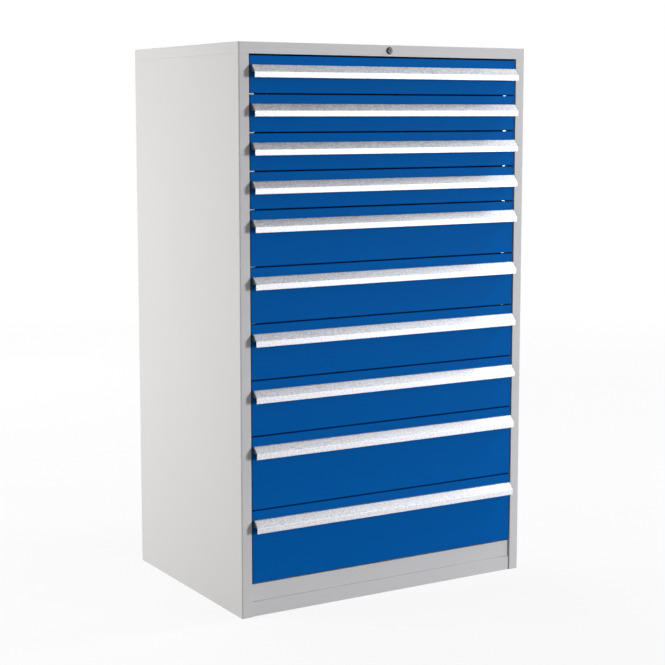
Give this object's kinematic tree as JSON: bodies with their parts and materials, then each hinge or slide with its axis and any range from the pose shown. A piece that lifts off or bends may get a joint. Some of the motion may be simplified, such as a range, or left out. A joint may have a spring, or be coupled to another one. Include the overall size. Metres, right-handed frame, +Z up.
{
  "type": "drawer cabinet",
  "caption": "Tall floor-standing drawer cabinet in folded sheet steel: full-width drawers on full-extension slides, a grip rail on each front and one central lock.",
  "frame": {"origin": "on the floor under the middle of the whole cabinet, grip rails included", "axes": "+Z up, drawers open towards -Y, +X to the right of someone facing the fronts"},
  "size_m": [0.92, 0.6714, 1.5225],
  "materials": {
    "grey_paint": "fine texture, satin",
    "blue_paint": "fine texture, satin",
    "tray_paint": "satin",
    "anodised_aluminium": "matt anodised",
    "zinc_steel": "zinc plated",
    "lock_chrome": "satin chrome"
  },
  "bodies": {
    "carcass": {"left_side_panel": "grey_paint", "right_side_panel": "grey_paint", "left_front_post": "grey_paint", "right_front_post": "grey_paint", "left_rear_upright": "grey_paint", "right_rear_upright": "grey_paint", "lid": "grey_paint", "base_pan": "grey_paint", "filler_strip": "grey_paint", "back_panel": "grey_paint", "back_panel_rivets": "zinc_steel", "left_cabinet_rails": "zinc_steel", "right_cabinet_rails": "zinc_steel", "lock_housing": "lock_chrome", "lock_shaft_bracket": "zinc_steel", "lock_bar_guides": "zinc_steel"},
    "drawer_01": {"drawer_01_tray": "tray_paint", "drawer_01_front": "blue_paint", "drawer_01_grip_rail": "anodised_aluminium"},
    "drawer_01_slides": {"drawer_01_carriages": "zinc_steel"},
    "drawer_02": {"drawer_02_tray": "tray_paint", "drawer_02_front": "blue_paint", "drawer_02_grip_rail": "anodised_aluminium"},
    "drawer_02_slides": {"drawer_02_carriages": "zinc_steel"},
    "drawer_03": {"drawer_03_tray": "tray_paint", "drawer_03_front": "blue_paint", "drawer_03_grip_rail": "anodised_aluminium"},
    "drawer_03_slides": {"drawer_03_carriages": "zinc_steel"},
    "drawer_04": {"drawer_04_tray": "tray_paint", "drawer_04_front": "blue_paint", "drawer_04_grip_rail": "anodised_aluminium"},
    "drawer_04_slides": {"drawer_04_carriages": "zinc_steel"},
    "drawer_05": {"drawer_05_tray": "tray_paint", "drawer_05_front": "blue_paint", "drawer_05_grip_rail": "anodised_aluminium"},
    "drawer_05_slides": {"drawer_05_carriages": "zinc_steel"},
    "drawer_06": {"drawer_06_tray": "tray_paint", "drawer_06_front": "blue_paint", "drawer_06_grip_rail": "anodised_aluminium"},
    "drawer_06_slides": {"drawer_06_carriages": "zinc_steel"},
    "drawer_07": {"drawer_07_tray": "tray_paint", "drawer_07_front": "blue_paint", "drawer_07_grip_rail": "anodised_aluminium"},
    "drawer_07_slides": {"drawer_07_carriages": "zinc_steel"},
    "drawer_08": {"drawer_08_tray": "tray_paint", "drawer_08_front": "blue_paint", "drawer_08_grip_rail": "anodised_aluminium"},
    "drawer_08_slides": {"drawer_08_carriages": "zinc_steel"},
    "drawer_09": {"drawer_09_tray": "tray_paint", "drawer_09_front": "blue_paint", "drawer_09_grip_rail": "anodised_aluminium"},
    "drawer_09_slides": {"drawer_09_carriages": "zinc_steel"},
    "drawer_10": {"drawer_10_tray": "tray_paint", "drawer_10_front": "blue_paint", "drawer_10_grip_rail": "anodised_aluminium"},
    "drawer_10_slides": {"drawer_10_carriages": "zinc_steel"},
    "lock_core": {"lock_plug": "lock_chrome", "lock_shaft": "zinc_steel"},
    "lock_bar": {"lock_bar": "zinc_steel"}
  },
  "joints": [
    {"name": "drawer_01_slide", "type": "slide", "parent": "carcass", "child": "drawer_01", "axis": [0, -1, 0], "range_m": [0, 0.575]},
    {"name": "drawer_01_carriage_slide", "type": "slide", "parent": "carcass", "child": "drawer_01_slides", "axis": [0, -1, 0], "range_m": [0, 0.2875]},
    {"name": "drawer_02_slide", "type": "slide", "parent": "carcass", "child": "drawer_02", "axis": [0, -1, 0], "range_m": [0, 0.575]},
    {"name": "drawer_02_carriage_slide", "type": "slide", "parent": "carcass", "child": "drawer_02_slides", "axis": [0, -1, 0], "range_m": [0, 0.2875]},
    {"name": "drawer_03_slide", "type": "slide", "parent": "carcass", "child": "drawer_03", "axis": [0, -1, 0], "range_m": [0, 0.575]},
    {"name": "drawer_03_carriage_slide", "type": "slide", "parent": "carcass", "child": "drawer_03_slides", "axis": [0, -1, 0], "range_m": [0, 0.2875]},
    {"name": "drawer_04_slide", "type": "slide", "parent": "carcass", "child": "drawer_04", "axis": [0, -1, 0], "range_m": [0, 0.575]},
    {"name": "drawer_04_carriage_slide", "type": "slide", "parent": "carcass", "child": "drawer_04_slides", "axis": [0, -1, 0], "range_m": [0, 0.2875]},
    {"name": "drawer_05_slide", "type": "slide", "parent": "carcass", "child": "drawer_05", "axis": [0, -1, 0], "range_m": [0, 0.575]},
    {"name": "drawer_05_carriage_slide", "type": "slide", "parent": "carcass", "child": "drawer_05_slides", "axis": [0, -1, 0], "range_m": [0, 0.2875]},
    {"name": "drawer_06_slide", "type": "slide", "parent": "carcass", "child": "drawer_06", "axis": [0, -1, 0], "range_m": [0, 0.575]},
    {"name": "drawer_06_carriage_slide", "type": "slide", "parent": "carcass", "child": "drawer_06_slides", "axis": [0, -1, 0], "range_m": [0, 0.2875]},
    {"name": "drawer_07_slide", "type": "slide", "parent": "carcass", "child": "drawer_07", "axis": [0, -1, 0], "range_m": [0, 0.575]},
    {"name": "drawer_07_carriage_slide", "type": "slide", "parent": "carcass", "child": "drawer_07_slides", "axis": [0, -1, 0], "range_m": [0, 0.2875]},
    {"name": "drawer_08_slide", "type": "slide", "parent": "carcass", "child": "drawer_08", "axis": [0, -1, 0], "range_m": [0, 0.575]},
    {"name": "drawer_08_carriage_slide", "type": "slide", "parent": "carcass", "child": "drawer_08_slides", "axis": [0, -1, 0], "range_m": [0, 0.2875]},
    {"name": "drawer_09_slide", "type": "slide", "parent": "carcass", "child": "drawer_09", "axis": [0, -1, 0], "range_m": [0, 0.575]},
    {"name": "drawer_09_carriage_slide", "type": "slide", "parent": "carcass", "child": "drawer_09_slides", "axis": [0, -1, 0], "range_m": [0, 0.2875]},
    {"name": "drawer_10_slide", "type": "slide", "parent": "carcass", "child": "drawer_10", "axis": [0, -1, 0], "range_m": [0, 0.575]},
    {"name": "drawer_10_carriage_slide", "type": "slide", "parent": "carcass", "child": "drawer_10_slides", "axis": [0, -1, 0], "range_m": [0, 0.2875]},
    {"name": "lock_turn", "type": "hinge", "parent": "carcass", "child": "lock_core", "pos_m": [0, -0.3143, 1.5075], "axis": [0, 1, 0], "range_deg": [0, 90]},
    {"name": "lock_bar_slide", "type": "slide", "parent": "carcass", "child": "lock_bar", "axis": [0, 0, 1], "range_m": [0, 0.01414]}
  ],
  "couplings": [
    {"joint": "drawer_01_carriage_slide", "follows": "drawer_01_slide", "ratio": 0.5},
    {"joint": "drawer_02_carriage_slide", "follows": "drawer_02_slide", "ratio": 0.5},
    {"joint": "drawer_03_carriage_slide", "follows": "drawer_03_slide", "ratio": 0.5},
    {"joint": "drawer_04_carriage_slide", "follows": "drawer_04_slide", "ratio": 0.5},
    {"joint": "drawer_05_carriage_slide", "follows": "drawer_05_slide", "ratio": 0.5},
    {"joint": "drawer_06_carriage_slide", "follows": "drawer_06_slide", "ratio": 0.5},
    {"joint": "drawer_07_carriage_slide", "follows": "drawer_07_slide", "ratio": 0.5},
    {"joint": "drawer_08_carriage_slide", "follows": "drawer_08_slide", "ratio": 0.5},
    {"joint": "drawer_09_carriage_slide", "follows": "drawer_09_slide", "ratio": 0.5},
    {"joint": "drawer_10_carriage_slide", "follows": "drawer_10_slide", "ratio": 0.5},
    {"joint": "lock_turn", "follows": "lock_bar_slide", "rad_per_m": 111.07}
  ]
}
